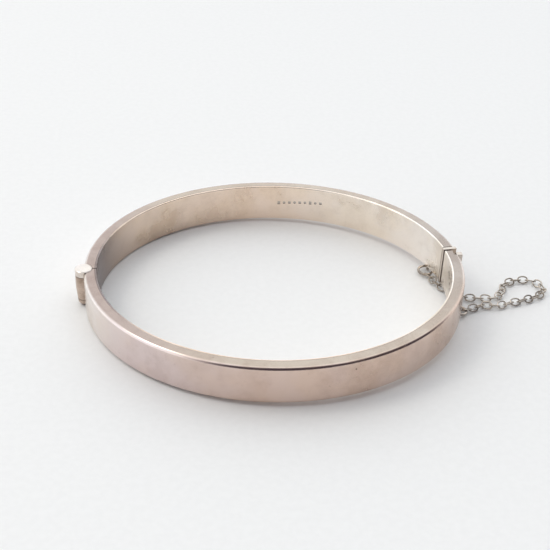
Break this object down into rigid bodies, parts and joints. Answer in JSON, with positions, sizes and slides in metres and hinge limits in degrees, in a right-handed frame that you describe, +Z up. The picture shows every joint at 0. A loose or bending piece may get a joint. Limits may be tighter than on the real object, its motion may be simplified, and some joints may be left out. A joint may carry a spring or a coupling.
{
  "type": "bangle bracelet",
  "caption": "Hinged oval bangle bracelet: two hollow silver halves on a pin hinge, closed by a sprung tongue clasp and joined by a fine cable safety chain.",
  "frame": {"origin": "middle of the footprint on the surface that the bangle lies on, the bangle and its loose chain taken together", "axes": "+X from the hinge towards the clasp and the chain, +Y towards the half that holds the clasp's slot, +Z up"},
  "size_m": [0.0848, 0.0596, 0.0084],
  "materials": {
    "chain_wire": "tarnished drawn silver wire",
    "ring_wire": "tarnished silver wire",
    "fitting_silver": "satin silver",
    "hinge_silver": "tarnished silver",
    "clasp_silver": "worn silver",
    "lining_silver": "softly polished silver with fine wear",
    "shell_silver": "polished silver sheet with fine scratches"
  },
  "bodies": {
    "back_half": {"back_outer_shell": "shell_silver", "back_inner_lining": "lining_silver", "back_hinge_cap": "shell_silver", "back_clasp_plate": "fitting_silver", "hinge_knuckle_top": "fitting_silver", "hinge_knuckle_bottom": "hinge_silver", "hinge_pin": "hinge_silver", "back_chain_eye": "ring_wire"},
    "front_half": {"front_outer_shell": "shell_silver", "front_inner_lining": "lining_silver", "front_hinge_cap": "shell_silver", "hinge_knuckle_middle": "hinge_silver", "tongue_mount": "clasp_silver", "tongue_base": "clasp_silver", "front_chain_eye": "ring_wire"},
    "clasp_spring": {"tongue_spring": "clasp_silver", "thumb_piece": "clasp_silver"},
    "back_ring": {"back_anchor_ring": "ring_wire"},
    "front_ring": {"front_anchor_ring": "ring_wire"},
    "links_01_02": {"chain_link_01": "chain_wire", "chain_link_02": "chain_wire"},
    "links_03_03": {"chain_link_03": "chain_wire"},
    "links_04_05": {"chain_link_04": "chain_wire", "chain_link_05": "chain_wire"},
    "links_06_09": {"chain_link_06": "chain_wire", "chain_link_07": "chain_wire", "chain_link_08": "chain_wire", "chain_link_09": "chain_wire"},
    "links_10_13": {"chain_link_10": "chain_wire", "chain_link_11": "chain_wire", "chain_link_12": "chain_wire", "chain_link_13": "chain_wire"},
    "links_14_19": {"chain_link_14": "chain_wire", "chain_link_15": "chain_wire", "chain_link_16": "chain_wire", "chain_link_17": "chain_wire", "chain_link_18": "chain_wire", "chain_link_19": "chain_wire"},
    "links_20_21": {"chain_link_20": "chain_wire", "chain_link_21": "chain_wire"},
    "links_22_22": {"chain_link_22": "chain_wire"},
    "links_23_24": {"chain_link_23": "chain_wire", "chain_link_24": "chain_wire"},
    "links_25_29": {"chain_link_25": "chain_wire", "chain_link_26": "chain_wire", "chain_link_27": "chain_wire", "chain_link_28": "chain_wire", "chain_link_29": "chain_wire"},
    "links_30_31": {"chain_link_30": "chain_wire", "chain_link_31": "chain_wire"},
    "links_32_33": {"chain_link_32": "chain_wire", "chain_link_33": "chain_wire"},
    "links_34_34": {"chain_link_34": "chain_wire"}
  },
  "joints": [
    {"name": "bangle_hinge", "type": "hinge", "parent": "back_half", "child": "front_half", "pos_m": [-0.04081, 0, 0], "axis": [0.0209, 0, -0.9998], "range_deg": [0, 20]},
    {"name": "clasp_spring_flex", "type": "hinge", "parent": "front_half", "child": "clasp_spring", "pos_m": [0.0237, 0.0064, 0.00135], "axis": [0.0209, 0, -0.9998], "range_deg": [0, 3], "stiffness_Nm_per_rad": 0.25},
    {"name": "back_ring_swing", "type": "hinge", "parent": "back_half", "child": "back_ring", "pos_m": [0.02132, 0.00789, 0.00074], "axis": [0, 0, 1], "range_deg": [-20.6, 1.5]},
    {"name": "links_01_02_turn", "type": "hinge", "parent": "back_ring", "child": "links_01_02", "pos_m": [0.02139, 0.0068, 0.00063], "axis": [0, 0, 1], "range_deg": [-12.29, 1.5]},
    {"name": "links_03_03_turn", "type": "hinge", "parent": "links_01_02", "child": "links_03_03", "pos_m": [0.02218, 0.00407, 0.00063], "axis": [0, 0, 1], "range_deg": [-7.9, 1.5]},
    {"name": "links_04_05_turn", "type": "hinge", "parent": "links_03_03", "child": "links_04_05", "pos_m": [0.02281, 0.0028, 0.00063], "axis": [0, 0, 1], "range_deg": [-6.49, 1.5]},
    {"name": "links_06_09_turn", "type": "hinge", "parent": "links_04_05", "child": "links_06_09", "pos_m": [0.02454, 0.00055, 0.00063], "axis": [0, 0, 1], "range_deg": [-10.32, 1.5]},
    {"name": "links_10_13_turn", "type": "hinge", "parent": "links_14_19", "child": "links_10_13", "pos_m": [0.03404, 0.00108, 0.00063], "axis": [0, 0, 1], "range_deg": [-3.86, 1.5]},
    {"name": "links_14_19_turn", "type": "hinge", "parent": "links_20_21", "child": "links_14_19", "pos_m": [0.04097, 0.0037, 0.00063], "axis": [0, 0, 1], "range_deg": [-10.91, 1.5]},
    {"name": "links_20_21_turn", "type": "hinge", "parent": "back_half", "child": "links_20_21", "pos_m": [0.01789, 0.0066, 0.00063], "axis": [0, 0, 1], "range_deg": [-45.08, 1.5]},
    {"name": "links_22_22_turn", "type": "hinge", "parent": "links_20_21", "child": "links_22_22", "pos_m": [0.04189, 0.00111, 0.00063], "axis": [0, 0, 1], "range_deg": [-1.5, 62.72]},
    {"name": "links_23_24_turn", "type": "hinge", "parent": "links_22_22", "child": "links_23_24", "pos_m": [0.04124, -0.00015, 0.00063], "axis": [0, 0, 1], "range_deg": [-1.5, 12.03]},
    {"name": "links_25_29_turn", "type": "hinge", "parent": "links_23_24", "child": "links_25_29", "pos_m": [0.03887, -0.00163, 0.00063], "axis": [0, 0, 1], "range_deg": [-1.5, 6.51]},
    {"name": "links_30_31_turn", "type": "hinge", "parent": "links_25_29", "child": "links_30_31", "pos_m": [0.03212, -0.00381, 0.00063], "axis": [0, 0, 1], "range_deg": [-1.5, 9.93]},
    {"name": "links_32_33_turn", "type": "hinge", "parent": "links_30_31", "child": "links_32_33", "pos_m": [0.02929, -0.00365, 0.00063], "axis": [0, 0, 1], "range_deg": [-26.43, 1.5]},
    {"name": "links_34_34_turn", "type": "hinge", "parent": "links_32_33", "child": "links_34_34", "pos_m": [0.02663, -0.00466, 0.00063], "axis": [0, 0, 1], "range_deg": [-44.59, 1.5]},
    {"name": "front_ring_turn", "type": "hinge", "parent": "front_half", "child": "front_ring", "pos_m": [0.02448, -0.00528, 0.00074], "axis": [0.0809, 0.0172, 0.9966], "range_deg": [-1.5, 34.68]}
  ],
  "couplings": [
    {"joint": "back_ring_swing", "follows": "bangle_hinge", "ratio": -0.9549},
    {"joint": "links_01_02_turn", "follows": "bangle_hinge", "ratio": -0.5394},
    {"joint": "links_03_03_turn", "follows": "bangle_hinge", "ratio": -0.3199},
    {"joint": "links_04_05_turn", "follows": "bangle_hinge", "ratio": -0.2495},
    {"joint": "links_06_09_turn", "follows": "bangle_hinge", "ratio": -0.4412},
    {"joint": "links_10_13_turn", "follows": "bangle_hinge", "ratio": -0.1181},
    {"joint": "links_14_19_turn", "follows": "bangle_hinge", "ratio": -0.4705},
    {"joint": "links_20_21_turn", "follows": "bangle_hinge", "ratio": -2.1791},
    {"joint": "links_22_22_turn", "follows": "bangle_hinge", "ratio": 3.0611},
    {"joint": "links_23_24_turn", "follows": "bangle_hinge", "ratio": 0.5263},
    {"joint": "links_25_29_turn", "follows": "bangle_hinge", "ratio": 0.2507},
    {"joint": "links_30_31_turn", "follows": "bangle_hinge", "ratio": 0.4216},
    {"joint": "links_32_33_turn", "follows": "bangle_hinge", "ratio": -1.2466},
    {"joint": "links_34_34_turn", "follows": "bangle_hinge", "ratio": -2.1545},
    {"joint": "front_ring_turn", "follows": "bangle_hinge", "ratio": 1.659}
  ]
}
